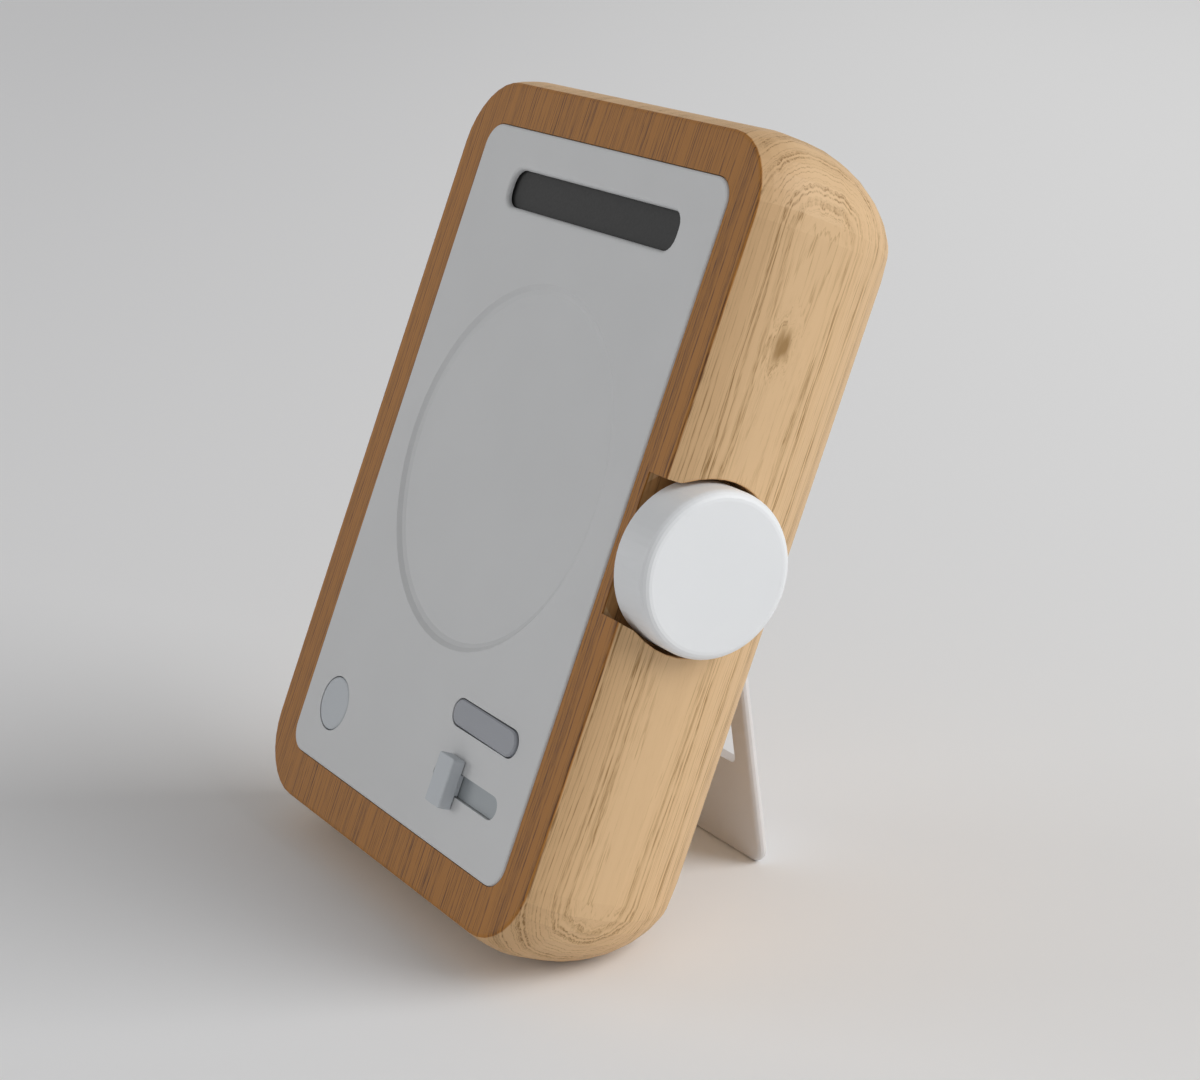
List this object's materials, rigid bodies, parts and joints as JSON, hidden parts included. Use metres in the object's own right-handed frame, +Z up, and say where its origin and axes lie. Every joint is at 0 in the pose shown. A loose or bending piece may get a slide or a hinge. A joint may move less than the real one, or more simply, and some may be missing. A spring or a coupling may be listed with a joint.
{
  "type": "meditation timer",
  "caption": "Palm-sized wooden meditation timer leaning on a kickstand, with a side dial, round start button, rocker key, slide control and a narrow display.",
  "frame": {"origin": "centre of the bounding box, on the floor that the timer stands on", "axes": "+Z up, -Y towards the person who reads the display, +X to their right, where the dial is"},
  "size_m": [0.0918, 0.071, 0.1194],
  "materials": {
    "oiled_wood": "oiled, satin",
    "panel_plastic": "fine matte texture",
    "key_plastic": "fine matte texture",
    "liner_plastic": "fine matte texture",
    "knob_plastic": "soft matte",
    "tray_plastic": "moulded, black",
    "smoked_acrylic": "smoked, polished",
    "black_plastic": "moulded, black",
    "board_laminate": "solder mask over glass cloth",
    "steel": "plain",
    "magnet_nickel": "nickel plated",
    "nut_brass": "turned",
    "satin_aluminium": "bead blasted",
    "white_powder_coat": "matte powder coat",
    "foam": "open cell foam",
    "cell_foil": "laminated pouch foil",
    "nylon": "natural"
  },
  "bodies": {
    "case_body": {"wood_case": "oiled_wood", "front_panel": "panel_plastic", "display_window": "smoked_acrylic", "display_module": "black_plastic", "start_switch": "black_plastic", "rocker_mount": "nylon", "rocker_pin": "steel", "rocker_switch_left": "black_plastic", "rocker_switch_right": "black_plastic", "track_liner": "liner_plastic", "slider_keeper": "steel", "slider_sensor": "black_plastic", "key_board": "board_laminate", "dial_encoder": "black_plastic", "dial_nut": "nut_brass", "sound_exciter": "black_plastic", "exciter_pad": "foam", "main_board": "board_laminate", "control_chip": "black_plastic", "amplifier_chip": "black_plastic", "battery_tray": "tray_plastic", "battery_cell": "cell_foil", "battery_foam": "foam", "charge_port": "steel", "port_board": "board_laminate", "case_screw_1": "steel", "case_screw_2": "steel", "case_screw_3": "steel", "case_screw_4": "steel", "hinge_bracket": "steel", "hinge_pin": "steel", "washer_left": "nylon", "washer_right": "nylon", "bracket_screw_1": "steel", "bracket_screw_2": "steel"},
    "start_button_body": {"start_button": "key_plastic"},
    "rocker_body": {"mode_rocker": "key_plastic"},
    "slider_body": {"volume_slider": "key_plastic", "slider_magnet": "magnet_nickel"},
    "dial_body": {"dial_knob": "knob_plastic", "dial_shaft": "satin_aluminium"},
    "stand_body": {"kickstand": "white_powder_coat"}
  },
  "joints": [
    {"name": "start_press", "type": "slide", "parent": "case_body", "child": "start_button_body", "axis": [0, 0.9304, -0.3665], "range_m": [0, 0.0006], "stiffness_N_per_m": 300, "springref_m": -0.0008},
    {"name": "rocker_tilt", "type": "hinge", "parent": "case_body", "child": "rocker_body", "pos_m": [0.01685, -0.02292, 0.03176], "axis": [0, 0.3665, 0.9304], "range_deg": [0, 3.2]},
    {"name": "volume_slide", "type": "slide", "parent": "case_body", "child": "slider_body", "axis": [1, 0, 0], "range_m": [-0.0027, 0.0105]},
    {"name": "dial_turn", "type": "hinge", "parent": "case_body", "child": "dial_body", "pos_m": [-0.00205, -0.00441, 0.06033], "axis": [1, 0, 0], "continuous": true},
    {"name": "kickstand_fold", "type": "hinge", "parent": "case_body", "child": "stand_body", "pos_m": [-0.00205, 0.01653, 0.04719], "axis": [1, 0, 0], "range_deg": [-29.5, 0]}
  ]
}
